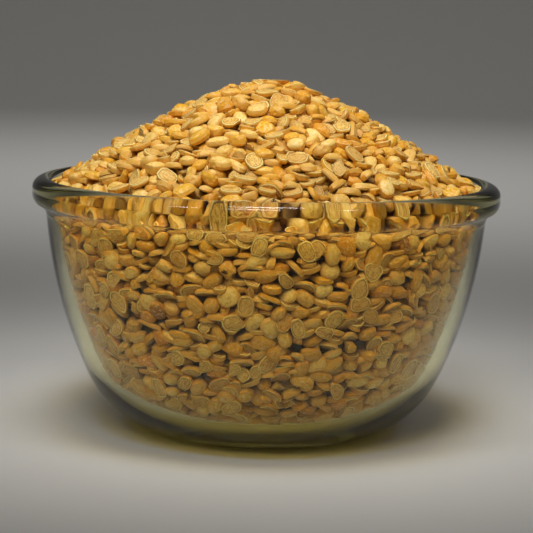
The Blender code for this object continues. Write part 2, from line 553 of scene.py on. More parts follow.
class GrainModel:
    """Models one unit grain of each kind: length, width and thickness are all 1."""

    segments = 12
    rings = 6
    cut_height = -0.06
    bevel_width = 0.045
    bevel_depth = 0.055
    scar_side = 0.45
    scar_width = 0.05
    scar_depth = 0.02
    snap_way = (0.9, 0.35, 0.25)
    snap_point = (0.14, 0.0, 0.0)
    snap_bevel = 0.02
    flattening = 0.8
    bow = 0.13
    lean = 0.12
    on_plane = 1e-4
    on_snap = 0.004

    def base(self, name: str) -> bpy.types.Object:
        """Start a grain from a round ball of diameter 1.

        Args:
            name: The ball's name.

        Returns:
            The ball, in edit mode.
        """
        begin_piece()
        bpy.ops.mesh.primitive_uv_sphere_add(segments=self.segments, ring_count=self.rings, radius=0.5)
        obj = bpy.context.object
        obj.name = name
        bpy.ops.object.mode_set(mode="EDIT")
        bpy.ops.mesh.select_all(action="SELECT")
        return obj

    def cut_face(self, normal: tuple, point: tuple) -> None:
        """Cut the grain across a plane, keep what lies behind it and close the cut."""
        bpy.ops.mesh.select_all(action="SELECT")
        bpy.ops.mesh.bisect(plane_co=point, plane_no=normal, clear_outer=True, use_fill=True)

    def half(self, name: str) -> bpy.types.Object:
        """Model half a seed: domed above, with a flat cut face below that has a rounded edge.

        Args:
            name: The grain's name.

        Returns:
            The grain.
        """
        obj = self.base(name)
        self.cut_face(normal=(0.0, 0.0, -1.0), point=(0.0, 0.0, self.cut_height))
        bpy.ops.mesh.inset(thickness=self.bevel_width, depth=0.0)
        bpy.ops.transform.translate(value=(0.0, 0.0, -self.bevel_depth))
        bpy.ops.mesh.poke()
        bpy.ops.object.mode_set(mode="OBJECT")
        return obj

    def whole(self, name: str) -> bpy.types.Object:
        """Model a whole seed: an egg with a small flat at its scar.

        Args:
            name: The grain's name.

        Returns:
            The grain.
        """
        obj = self.base(name)
        self.cut_face(normal=(0.0, 1.0, 0.0), point=(0.0, self.scar_side, 0.0))
        bpy.ops.mesh.inset(thickness=self.scar_width, depth=-self.scar_depth)
        bpy.ops.mesh.poke()
        bpy.ops.object.mode_set(mode="OBJECT")
        return obj

    def chip(self, name: str) -> bpy.types.Object:
        """Model a broken half: a half seed with one end snapped off.

        Args:
            name: The grain's name.

        Returns:
            The grain.
        """
        obj = self.half(name)
        bpy.ops.object.mode_set(mode="EDIT")
        self.cut_face(normal=self.snap_way, point=self.snap_point)
        bpy.ops.mesh.inset(thickness=self.snap_bevel, depth=0.0)
        bpy.ops.mesh.poke()
        bpy.ops.object.mode_set(mode="OBJECT")
        return obj

    def slanted(self, points: np.ndarray) -> np.ndarray:
        """Bow and lean a half's outline, as a kidney's is.

        Args:
            points: The grain's points.

        Returns:
            The moved points.
        """
        bent = points.copy()
        bent[:, 1] += self.bow * (points[:, 0] * points[:, 0] * 4.0 - 0.5)
        bent[:, 0] += self.lean * points[:, 1]
        return bent

    def fuller(self, points: np.ndarray, power: float) -> np.ndarray:
        """Push a grain's outline out towards a rounded box, for blunter ends.

        Args:
            points: The grain's points.
            power: 2 keeps the outline, and more makes it fuller.

        Returns:
            The moved points.
        """
        reach = np.hypot(points[:, 0], points[:, 1])
        boxed = (np.abs(points[:, :2]) ** power).sum(axis=1) ** (1.0 / power)
        full = points.copy()
        full[:, :2] *= (reach / np.maximum(boxed, 1e-9))[:, None]
        full[:, 2] = np.sign(full[:, 2]) * np.abs(full[:, 2] * 2.0) ** self.flattening / 2.0
        return full

    def marks(self, kind: GrainKind, points: np.ndarray) -> np.ndarray:
        """Say where points lie on a grain, before its outline is changed.

        Args:
            kind: Which grain.
            points: The modelled grain's points.

        Returns:
            For each point, its distance from the middle as a share of the outline's, and whether
            it is on a cut face.
        """
        reach = np.hypot(points[:, 0], points[:, 1])
        edge = reach / reach.max()
        cut = points[:, 2] < points[:, 2].min() + self.on_plane
        if kind is GrainKind.WHOLE:
            cut[:] = False
        if kind is GrainKind.CHIP:
            broken = (points - self.snap_point) @ np.array(self.snap_way) > -self.on_snap
            edge[broken] = 0.5
            cut |= broken
        return np.column_stack([edge, cut])

    def unit_mesh(self, kind: GrainKind) -> tuple[np.ndarray, np.ndarray, np.ndarray]:
        """Model one grain and read it.

        Args:
            kind: Which grain.

        Returns:
            Its points, scaled to a box of side 1 round the origin, its triangles and its marks.
        """
        makers = {GrainKind.WHOLE: self.whole, GrainKind.CHIP: self.chip}
        obj = makers.get(kind, self.half)(kind.value)
        bpy.ops.object.mode_set(mode="EDIT")
        bpy.ops.mesh.select_all(action="SELECT")
        bpy.ops.mesh.quads_convert_to_tris()
        bpy.ops.mesh.normals_make_consistent(inside=False)
        bpy.ops.object.mode_set(mode="OBJECT")
        mesh = obj.data
        points = np.empty(len(mesh.vertices) * 3, np.float32)
        mesh.vertices.foreach_get("co", points)
        points = points.reshape(-1, 3).astype(np.float64)
        faces = np.empty(len(mesh.polygons) * 3, np.int32)
        mesh.polygons.foreach_get("vertices", faces)
        bpy.data.objects.remove(obj)
        bpy.data.meshes.remove(mesh)
        marks = self.marks(kind, points)
        points = self.fuller(points, GRAIN_SIZES[kind].fullness)
        if kind is GrainKind.SLANT:
            points = self.slanted(points)
        low, high = points.min(axis=0), points.max(axis=0)
        return (points - (low + high) / 2.0) / (high - low), faces.reshape(-1, 3), marks


@dataclass
class GrainBatch:
    """Grains with their kinds, sizes and places. Row n of each array is grain n."""

    kinds: np.ndarray
    sizes: np.ndarray
    places: np.ndarray
    turns: np.ndarray


@dataclass
class GrainPacking:
    """Packs grains into the shell of the heap that shows, by pushing overlaps apart.

    Each grain is a small raft of balls: one in the middle and six round its edge. The grains
    start small and evenly spread, grow to full size while they push each other away, press
    against the glass, and settle on the heap below the skin.

    The two on_ numbers count grains, first_size and growth are shares of full size, growing and
    fading are shares of the rounds, and the balls' shares are of a grain's width or thickness.
    """

    form: HeapForm
    shell: float = 5.2 * MM
    on_glass: int = 3300
    on_heap: int = 2250
    rounds: int = 420
    quick_rounds: int = 110
    layers: int = 3
    seed: int = 5
    against: float = 0.38
    tilt: float = 0.34
    steer: float = 0.03
    press: float = 0.010 * MM
    first_size: float = 0.62
    growth: float = 0.38
    growing: float = 0.45
    fading: float = 0.3
    search_every: int = 6
    search_margin: float = 0.45 * MM
    pace: float = 0.9
    fastest_turn: float = 0.2
    deepest_push: float = 1.0 * MM
    edge_gap: float = 1.5 * MM
    share_jitter: tuple = (0.2, 0.8)
    bearing_jitter: float = 0.1
    length_limits: tuple = (0.8, 1.2)
    width_limits: tuple = (0.85, 1.15)
    thick_limits: tuple = (0.75, 1.25)
    balls: int = 7
    whole_ball: float = 0.36
    thick_ball: float = 0.38
    narrow_ball: float = 0.34
    kinds: list = field(default_factory=lambda: list(GrainKind))

    def __post_init__(self) -> None:
        """Start the random draws."""
        self.draw = np.random.default_rng(self.seed)

    def spread(self, count: int) -> tuple[np.ndarray, np.ndarray]:
        """Spread grains on a sunflower's spiral, a little unevenly.

        Args:
            count: How many grains.

        Returns:
            Each grain's share of the area, from 0 to 1, and its bearing.
        """
        shares = (np.arange(count) + self.draw.uniform(*self.share_jitter, count)) / count
        bearings = np.arange(count) * math.pi * (3.0 - math.sqrt(5.0))
        jitter = self.draw.uniform(-self.bearing_jitter, self.bearing_jitter, count)
        return shares, bearings + jitter

    def seeded(self) -> np.ndarray:
        """Spread the grains evenly over a few layers under the glass and under the skin.

        Returns:
            Their places, in rows.
        """
        form = self.form
        line = form.outline(0.0)
        line = line[: int(np.argmax(line[:, 0])) + 1]
        lengths = np.hypot(*(line[1:] - line[:-1]).T)
        areas = lengths * (line[1:, 0] + line[:-1, 0])
        upto = np.concatenate([[0.0], np.cumsum(areas)]) / areas.sum()
        found = []
        for layer in range(self.layers):
            depth = self.shell * (layer + 0.5) / self.layers
            shares, bearings = self.spread(self.on_glass // self.layers)
            radius = np.interp(shares, upto, line[:, 0])
            height = np.interp(shares, upto, line[:, 1])
            _, out, up = form.to_glass(radius, height)
            found.append((radius - out * depth, bearings + layer, height - up * depth))
            shares, bearings = self.spread(self.on_heap // self.layers)
            radius = (form.edge_radius - self.edge_gap) * np.sqrt(shares)
            _, out, up = form.to_skin(radius, radius)
            height = form.skin_height(radius)
            radius = np.maximum(radius - out * depth, 0.0)
            found.append((radius, bearings + 2 * layer, height - up * depth))
        radius, bearing, height = (np.concatenate(part) for part in zip(*found))
        return np.column_stack([radius * np.cos(bearing), radius * np.sin(bearing), height])

    def towards_outside(self, points: np.ndarray) -> np.ndarray:
        """The direction from each point to the glass or the skin, whichever is nearer."""
        to_glass, glass_way, to_skin, skin_way = self.form.depths(points)
        return np.where((to_glass < to_skin)[:, None], glass_way, skin_way)

    def varied(self, spread: float, limits: tuple, count: int) -> np.ndarray:
        """Draw numbers round 1, within limits."""
        return np.clip(self.draw.normal(1.0, spread, count), *limits)

    def start(self) -> None:
        """Draw the grains' kinds, sizes, places and turns, and lay out their balls."""
        draw = self.draw
        self.place = self.seeded()
        count = len(self.place)
        shares = [GRAIN_SIZES[kind].share for kind in self.kinds]
        self.kind = draw.choice(len(self.kinds), count, p=shares)
        self.size = np.empty((count, 3))
        for number, kind in enumerate(self.kinds):
            rows = np.nonzero(self.kind == number)[0]
            about = GRAIN_SIZES[kind]
            length = about.length * self.varied(about.length_spread, self.length_limits, len(rows))
            wide = about.width_share * self.varied(about.width_spread, self.width_limits, len(rows))
            thick = about.thick * self.varied(about.thick_spread, self.thick_limits, len(rows))
            self.size[rows] = np.column_stack([length, length * wide, thick])
        self.lay_out_balls()
        against = draw.uniform(0.0, 1.0, count) < self.against
        upright = np.where(against[:, None], self.towards_outside(self.place), (0.0, 0.0, 1.0))
        upright += draw.normal(0.0, self.tilt, (count, 3))
        upright *= draw.choice([-1.0, 1.0], count)[:, None]
        upright /= np.linalg.norm(upright, axis=1)[:, None]
        self.goal = upright
        along = draw.normal(size=(count, 3))
        along -= (along * upright).sum(axis=1)[:, None] * upright
        along /= np.linalg.norm(along, axis=1)[:, None]
        self.turn = np.stack([along, np.cross(upright, along), upright], axis=2)

    def lay_out_balls(self) -> None:
        """Place each grain's balls in its own frame. A half's edge balls lie on its cut face."""
        length, width, thick = self.size.T
        whole = self.kind == self.kinds.index(GrainKind.WHOLE)
        half = np.minimum(self.thick_ball * thick, self.narrow_ball * width)
        edge = np.where(whole, self.whole_ball * width, half)
        self.ball = np.zeros((len(self.size), self.balls, 3))
        self.ball_radius = np.repeat(edge[:, None], self.balls, axis=1)
        self.ball_radius[:, 0] = 0.5 * thick
        for number in range(1, self.balls):
            angle = math.tau * number / (self.balls - 1)
            self.ball[:, number, 0] = (length / 2.0 - edge) * math.cos(angle)
            self.ball[:, number, 1] = (width / 2.0 - edge) * math.sin(angle)
            self.ball[:, number, 2] = np.where(whole, 0.0, edge - thick / 2.0)
        squares = self.ball * self.ball
        total = squares.sum(axis=(1, 2))
        self.inertia = total[:, None] - squares.sum(axis=1)
        self.owner = np.repeat(np.arange(len(self.size)), self.balls)

    def neighbours(self, points: np.ndarray, radii: np.ndarray, margin: float) -> tuple:
        """Find the pairs of balls, of different grains, that are within a margin of touching.

        Args:
            points: The balls' centres.
            radii: Their radii.
            margin: The gap that still counts as near.

        Returns:
            The two balls of each pair, as two arrays of row numbers.
        """
        reach = 2.0 * float(np.quantile(radii, 0.999)) + margin
        cell = np.floor((points - points.min(axis=0)) / reach).astype(np.int64) + 1
        sides = cell.max(axis=0) + 2
        key = (cell[:, 0] * sides[1] + cell[:, 1]) * sides[2] + cell[:, 2]
        order = np.argsort(key, kind="stable")
        key = key[order]
        inside = np.bincount(key, minlength=int(sides.prod() + sides[1] * sides[2] * 2))
        begins = np.cumsum(inside) - inside
        index = np.arange(len(points))
        firsts, seconds = [], []
        for step in np.ndindex(2, 3, 3):
            offset = int((step[0] * sides[1] + step[1] - 1) * sides[2] + step[2] - 1)
            if offset < 0:
                continue
            begin = begins[key + offset] if offset else index + 1
            number = begins[key + offset] + inside[key + offset] - begin
            first = np.repeat(index, number)
            second = np.arange(len(first)) - np.repeat(np.cumsum(number) - number, number)
            firsts.append(order[first])
            seconds.append(order[np.repeat(begin, number) + second])
        first, second = np.concatenate(firsts), np.concatenate(seconds)
        apart = self.owner[first] != self.owner[second]
        first, second = first[apart], second[apart]
        gap = points[first] - points[second]
        limit = radii[first] + radii[second] + margin
        near = (gap * gap).sum(axis=1) < limit * limit
        return first[near], second[near]

    def turned_by(self, spin: np.ndarray) -> np.ndarray:
        """Work out rotations.

        Args:
            spin: Rotation vectors, in rows.

        Returns:
            Their matrices.
        """
        angle = np.linalg.norm(spin, axis=1)
        axis = spin / np.maximum(angle, 1e-12)[:, None]
        cross = np.zeros((len(spin), 3, 3))
        cross[:, 0, 1], cross[:, 0, 2], cross[:, 1, 2] = -axis[:, 2], axis[:, 1], -axis[:, 0]
        cross -= cross.transpose(0, 2, 1)
        sine, cosine = np.sin(angle)[:, None, None], np.cos(angle)[:, None, None]
        return np.eye(3) + sine * cross + (1.0 - cosine) * np.einsum("nij,njk->nik", cross, cross)

    def pushes(self, points: np.ndarray, radii: np.ndarray, pairs: tuple) -> tuple:
        """Work out how far each ball is pushed by its neighbours, the glass and the core.

        Args:
            points: The balls' centres.
            radii: Their radii.
            pairs: The pairs of balls that may touch.

        Returns:
            The sum of each ball's pushes and how many there were.
        """
        count = len(points)
        first, second = pairs
        gap = points[first] - points[second]
        apart = np.sqrt((gap * gap).sum(axis=1))
        overlap = radii[first] + radii[second] - apart
        hit = np.nonzero(overlap > 0.0)[0]
        first, second = first[hit], second[hit]
        share = (0.5 * overlap[hit] / np.maximum(apart[hit], 1e-9))[:, None] * gap[hit]
        move = np.column_stack(
            [
                np.bincount(first, share[:, axis], count) - np.bincount(second, share[:, axis], count)
                for axis in range(3)
            ]
        )
        hits = np.bincount(first, minlength=count) + np.bincount(second, minlength=count)
        to_glass, glass_way, to_skin, skin_way = self.form.depths(points)
        too_far = np.maximum(radii - to_glass, 0.0)
        above = np.maximum(-to_skin, 0.0)
        deep = np.maximum(np.minimum(to_glass, to_skin) + radii - self.shell, 0.0)
        outward = np.where((to_glass < to_skin)[:, None], glass_way, skin_way)
        move -= glass_way * too_far[:, None] + skin_way * above[:, None]
        move += outward * np.minimum(deep, self.deepest_push)[:, None]
        hits = hits + (too_far > 0.0) + (above > 0.0) + (deep > 0.0)
        return move, hits

    def settle(self, strength: float) -> None:
        """Press the grains against the glass and, in the heap, down on those below.

        Args:
            strength: How far they move.
        """
        to_glass, glass_way, to_skin, skin_way = self.form.depths(self.place)
        by_glass = (to_glass < self.shell)[:, None]
        by_skin = (to_skin < self.shell)[:, None]
        outward = glass_way * by_glass * np.where(by_skin, 0.5, 1.0)
        self.place += strength * (outward - skin_way * by_skin)

    def step(self, grown: float, pairs: tuple, press: float) -> None:
        """Move and turn every grain once, away from what it overlaps.

        Args:
            grown: The grains' share of their full size.
            pairs: The pairs of balls that may touch.
            press: How far the grains are pressed outwards.
        """
        offsets = np.einsum("nij,nkj->nki", self.turn, self.ball) * grown
        points = (self.place[:, None] + offsets).reshape(-1, 3)
        move, hits = self.pushes(points, self.ball_radius.reshape(-1) * grown, pairs)
        move = (move / np.maximum(hits, 1)[:, None]).reshape(offsets.shape)
        touched = (hits.reshape(offsets.shape[:2]) > 0).sum(axis=1)
        torque = np.einsum("nji,nj->ni", self.turn, np.cross(offsets, move).sum(axis=1))
        spin = np.einsum("nij,nj->ni", self.turn, torque / (self.inertia * grown * grown))
        fastest = np.linalg.norm(spin, axis=1)[:, None]
        spin *= np.minimum(1.0, self.fastest_turn / np.maximum(fastest, 1e-9))
        spin += self.steer * np.cross(self.turn[:, :, 2], self.goal)
        self.place += self.pace * move.sum(axis=1) / np.maximum(touched, 1)[:, None]
        self.turn = np.einsum("nij,njk->nik", self.turned_by(self.pace * spin), self.turn)
        self.settle(press)

    def square_up(self) -> None:
        """Make the grains' axes square and of length 1 again."""
        along = self.turn[:, :, 0] / np.linalg.norm(self.turn[:, :, 0], axis=1)[:, None]
        across = self.turn[:, :, 1] - (self.turn[:, :, 1] * along).sum(axis=1)[:, None] * along
        across /= np.linalg.norm(across, axis=1)[:, None]
        self.turn = np.stack([along, across, np.cross(along, across)], axis=2)

    def run(self) -> GrainBatch:
        """Pack the grains.

        Returns:
            The grains at rest.
        """
        self.start()
        rounds = self.rounds
        pairs = None
        for number in range(rounds):
            grown = min(1.0, self.first_size + self.growth * number / (self.growing * rounds))
            if number % self.search_every == 0:
                offsets = np.einsum("nij,nkj->nki", self.turn, self.ball) * grown
                points = (self.place[:, None] + offsets).reshape(-1, 3)
                pairs = self.neighbours(points, self.ball_radius.reshape(-1) * grown, self.search_margin)
                self.square_up()
            fade = min(1.0, (rounds - number) / (self.fading * rounds))
            self.step(grown, pairs, self.press * fade)
        log.info("packed %d grains in %d rounds", len(self.place), rounds)
        return GrainBatch(self.kind, self.size, self.place, self.turn)


# Finishes


@dataclass(frozen=True)
class ClearGlass:
    """Thick clear glass, faintly green where the light goes a long way through it."""

    name: str = "clear_glass"
    tint: tuple = (0.81, 0.79, 0.17, 1.0)
    density: float = 71.0
    lamp_tint: tuple = (0.90, 0.81, 0.66, 1.0)
    index: float = 1.37
    roughness: float = 0.015

    def material(self) -> bpy.types.Material:
        """Build the material. Lamps shine straight through it, as its walls are nearly parallel.

        Returns:
            The finished material.
        """
        made, tree = new_material(self.name)
        glass = tree.node(
            "ShaderNodeBsdfPrincipled",
            {
                "Base Color": (1.0, 1.0, 1.0, 1.0),
                "Roughness": self.roughness,
                "IOR": self.index,
                "Transmission Weight": 1.0,
            },
        )
        clear = tree.node("ShaderNodeBsdfTransparent", {"Color": self.lamp_tint})
        path = tree.node("ShaderNodeLightPath")
        both = tree.node(
            "ShaderNodeMixShader",
            {0: path.outputs["Is Shadow Ray"], 1: glass.outputs[0], 2: clear.outputs[0]},
        )
        loss = {"Color": self.tint, "Density": self.density}
        tree.finish(both, tree.node("ShaderNodeVolumeAbsorption", loss))
        return made


@dataclass(frozen=True)
class LentilSkin:
    """The grains' finish: golden waxy domes and paler, wrinkled cut faces with a pale rim.

    It reads three attributes of the grains: lentil_place, a point's place in its own grain from
    -1 to 1 along each side; lentil_edge, how near the outline it is, whether it is on a cut face
    and how much painted shade it gets for lying deep among the grains; and lentil_draw, three
    random numbers, the same all over a grain.
    Where a finish begins and is full is a pair of values of what it follows.
    """

    name: str = "lentil_skin"
    straw: tuple = linear(252, 214, 116)
    golden: tuple = linear(240, 180, 26)
    golden_tones: tuple = (0.1, 0.9)
    orange: tuple = linear(232, 152, 10)
    orange_tones: tuple = (0.88, 0.95)
    brown: tuple = linear(172, 108, 32)
    brown_tones: tuple = (0.975, 0.985)
    bloom: tuple = linear(255, 232, 172)
    bloom_mottle: tuple = (0.48, 0.64)
    bloom_share: float = 0.7
    crease: tuple = linear(200, 130, 30)
    crease_mottle: tuple = (0.46, 0.34)
    crease_share: float = 0.55
    # Painted shade: the dome turns a deeper orange towards its outline, where it curves away from the
    # light.
    margin: tuple = linear(224, 156, 26)
    painted_edge_shade_span: tuple = (0.60, 1.0)
    painted_edge_shade_share: float = 0.6
    cut: tuple = linear(252, 216, 124)
    cut_wrinkle: tuple = (0.38, 0.56)
    cut_marks: tuple = (0.05, 0.40)
    skin_on_cut: float = 0.25
    groove_start: tuple = (0.68, 0.75)
    groove_end: tuple = (0.78, 0.83)
    groove_share: float = 0.6
    rim: tuple = linear(255, 234, 150)
    rim_edge: tuple = (0.80, 0.85)
    dull_draws: tuple = (0.35, 1.0)
    dull_share: float = 0.35
    scar: tuple = linear(52, 28, 12)
    scar_draws: tuple = (0.986, 0.988)
    scar_size: tuple = (0.75, 0.95)
    scar_reach: float = 0.6
    scar_raggedness: float = 1.2
    # Painted shade: a deep brown mixed into the grains where they lie deep among the others, away from the
    # glass and the heap's top.
    painted_shade: tuple = linear(98, 46, 6)
    painted_shade_share: float = 0.85
    mottle_scale: float = 3.2
    wrinkle_scale: float = 2.8
    wrinkle_stretch: tuple = (1.0, 2.2, 1.0)
    wrinkle_twist: float = 1.0
    ridge_start: tuple = (0.74, 0.84)
    ridge_end: tuple = (0.92, 1.02)
    ridge_height: float = 0.8
    fold_height: float = 0.75
    mottle_height: float = 0.42
    dent_depth: float = 0.26 * MM
    roughness: float = 0.42
    specular: float = 0.45
    noise_shift: float = 37.0
    scar_turns: float = 41.0
    noise_detail: float = 4.0
    noise_roughness: float = 0.65

    def noise(self, tree: ShaderTree, where: object, scale: float, twist: float) -> Socket:
        """Add fine uneven noise.

        Args:
            tree: The material's nodes.
            where: Where the noise is read.
            scale: How fine it is.
            twist: How much it is distorted.

        Returns:
            Its value.
        """
        links = {"Vector": where, "Scale": scale, "Distortion": twist}
        links |= {"Detail": self.noise_detail, "Roughness": self.noise_roughness}
        return tree.node("ShaderNodeTexNoise", links).outputs["Fac"]

    def patterns(self, tree: ShaderTree, place: object, offset: object) -> tuple:
        """Add the two noises, each different on every grain.

        Args:
            tree: The material's nodes.
            place: A point's place in its grain.
            offset: A random number of the grain.

        Returns:
            The mottling and the wrinkles.
        """
        away = tree.node("ShaderNodeCombineXYZ", {2: tree.times(offset, self.noise_shift)}).outputs[0]
        moved = tree.node("ShaderNodeVectorMath", {0: place, 1: away}, operation="ADD").outputs[0]
        mottle = self.noise(tree, moved, self.mottle_scale, 0.0)
        links = {"Vector": moved, "Scale": self.wrinkle_stretch}
        drawn = tree.node("ShaderNodeMapping", links).outputs[0]
        return mottle, self.noise(tree, drawn, self.wrinkle_scale, self.wrinkle_twist)

    def dome(self, tree: ShaderTree, tone: object, mottle: object, edge: object) -> Socket:
        """Colour the domed side, with painted shade towards its outline.

        Args:
            tree: The material's nodes.
            tone: A random number of the grain, which picks its colour.
            mottle: The mottling.
            edge: How near the outline a point is.

        Returns:
            The colour.
        """
        dome = tree.mix(tree.between(tone, *self.golden_tones), self.straw, self.golden)
        dome = tree.mix(tree.between(tone, *self.orange_tones), dome, self.orange)
        dome = tree.mix(tree.between(tone, *self.brown_tones), dome, self.brown)
        pale = tree.times(tree.between(mottle, *self.bloom_mottle), self.bloom_share)
        dome = tree.mix(pale, dome, self.bloom)
        dark = tree.times(tree.between(mottle, *self.crease_mottle), self.crease_share)
        dome = tree.mix(dark, dome, self.crease)
        # Painted shade towards the dome's outline.
        near = tree.times(tree.between(edge, *self.painted_edge_shade_span), self.painted_edge_shade_share)
        return tree.mix(near, dome, self.margin)

    def flat(self, tree: ShaderTree, dome: object, wrinkle: object, edge: object) -> Socket:
        """Colour the cut face.

        Args:
            tree: The material's nodes.
            dome: The domed side's colour, which shines through a little.
            wrinkle: The wrinkles.
            edge: How near the outline a point is.

        Returns:
            The colour.
        """
        flat = tree.mix(tree.between(wrinkle, *self.cut_wrinkle), self.crease, self.cut)
        flat = tree.mix(self.skin_on_cut, flat, dome)
        groove = tree.band(edge, self.groove_start, self.groove_end)
        flat = tree.mix(tree.times(groove, self.groove_share), flat, self.crease)
        return tree.mix(tree.between(edge, *self.rim_edge), flat, self.rim)

    def speck(self, tree: ShaderTree, place: object, offset: object, wrinkle: object) -> Socket:
        """Shape the dark speck that a few grains have.

        Args:
            tree: The material's nodes.
            place: A point's place in its grain.
            offset: A random number of the grain, which turns the speck round it.
            wrinkle: The wrinkles, which make its edge ragged.

        Returns:
            1 on the speck and 0 off it.
        """
        x, y, _ = tree.node("ShaderNodeSeparateXYZ", {0: place}).outputs
        bearing = tree.times(offset, self.scar_turns)
        squares = []
        for part, turn in ((x, "COSINE"), (y, "SINE")):
            away = tree.math("SUBTRACT", part, tree.times(tree.math(turn, bearing), self.scar_reach))
            squares.append(tree.math("POWER", away, 2.0))
        reach = tree.math("SQRT", tree.math("ADD", *squares))
        ragged = tree.math("ADD", reach, tree.times(wrinkle, self.scar_raggedness))
        return tree.math("SUBTRACT", 1.0, tree.between(ragged, *self.scar_size))

    def material(self) -> bpy.types.Material:
        """Build the material.

        Returns:
            The finished material.
        """
        made, tree = new_material(self.name)
        sockets = []
        for name in ("lentil_place", "lentil_edge", "lentil_draw"):
            sockets.append(tree.node("ShaderNodeAttribute", attribute_name=name).outputs["Vector"])
        place, edges, draws = sockets
        edge, on_cut, depth = tree.node("ShaderNodeSeparateXYZ", {0: edges}).outputs
        tone, mark, offset = tree.node("ShaderNodeSeparateXYZ", {0: draws}).outputs
        cut = tree.between(on_cut, *self.cut_marks)
        mottle, wrinkle = self.patterns(tree, place, offset)
        dome = self.dome(tree, tone, mottle, edge)
        colour = tree.mix(cut, dome, self.flat(tree, dome, wrinkle, edge))
        dull = tree.times(tree.between(mark, *self.dull_draws), self.dull_share)
        colour = tree.mix(dull, colour, self.crease)
        speck = self.speck(tree, place, offset, wrinkle)
        speck = tree.times(speck, tree.between(mark, *self.scar_draws))
        colour = tree.mix(speck, colour, self.scar)
        # Painted shade: mix the deep brown in by the share that lentil_edge carries.
        shade = tree.times(tree.between(depth, 0.0, 1.0), self.painted_shade_share)
        colour = tree.mix(shade, colour, self.painted_shade)
        ridge = tree.band(edge, self.ridge_start, self.ridge_end)
        folds = tree.math("ADD", tree.times(ridge, self.ridge_height), wrinkle)
        height = tree.times(tree.times(folds, cut), self.fold_height)
        height = tree.math("ADD", height, tree.times(mottle, self.mottle_height))
        dents = {"Height": height, "Strength": 1.0, "Distance": self.dent_depth}
        dent = tree.node("ShaderNodeBump", dents)
        skin = tree.node(
            "ShaderNodeBsdfPrincipled",
            {
                "Base Color": colour,
                "Roughness": self.roughness,
                "Specular IOR Level": self.specular,
                "Normal": dent.outputs[0],
            },
        )
        tree.finish(skin)
        return made


@dataclass(frozen=True)
class HeapShade:
    """The shadowed brown that shows between the outermost grains."""

    name: str = "heap_shade"
    dark: tuple = linear(92, 48, 10)
    light: tuple = linear(176, 112, 34)
    cell_scale: float = 260.0
    cell_reach: tuple = (0.2, 0.7)
    roughness: float = 0.8

    def material(self) -> bpy.types.Material:
        """Build the material.

        Returns:
            The finished material.
        """
        made, tree = new_material(self.name)
        where = tree.node("ShaderNodeTexCoord").outputs["Object"]
        cells = tree.node("ShaderNodeTexVoronoi", {"Vector": where, "Scale": self.cell_scale})
        far = tree.between(cells.outputs["Distance"], *self.cell_reach)
        colour = tree.mix(far, self.light, self.dark)
        settings = {"Base Color": colour, "Roughness": self.roughness}
        tree.finish(tree.node("ShaderNodeBsdfPrincipled", settings))
        return made


@dataclass(frozen=True)
class StagePaper:
    """Plain pale paper for the floor and the backdrop."""

    name: str = "stage_paper"
    colour: tuple = linear(206, 205, 202)
    roughness: float = 0.9

    def material(self) -> bpy.types.Material:
        """Build the material.

        Returns:
            The finished material.
        """
        made, tree = new_material(self.name)
        settings = {"Base Color": self.colour, "Roughness": self.roughness}
        tree.finish(tree.node("ShaderNodeBsdfPrincipled", settings))
        return made


# The pieces


@dataclass
class GlassBowl:
    """The pressed glass bowl."""

    form: BowlForm
    steps: int = 192
    finish: ClearGlass = ClearGlass()

    def build(self) -> bpy.types.Object:
        """Turn the section, smooth it and dress it.

        Returns:
            The bowl.
        """
        bowl = turned("glass_bowl", self.form.section(), self.steps)
        bowl.data.shade_smooth()
        finish_piece(bowl, "glass_bowl", self.finish.material())
        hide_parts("bowl")
        return bowl


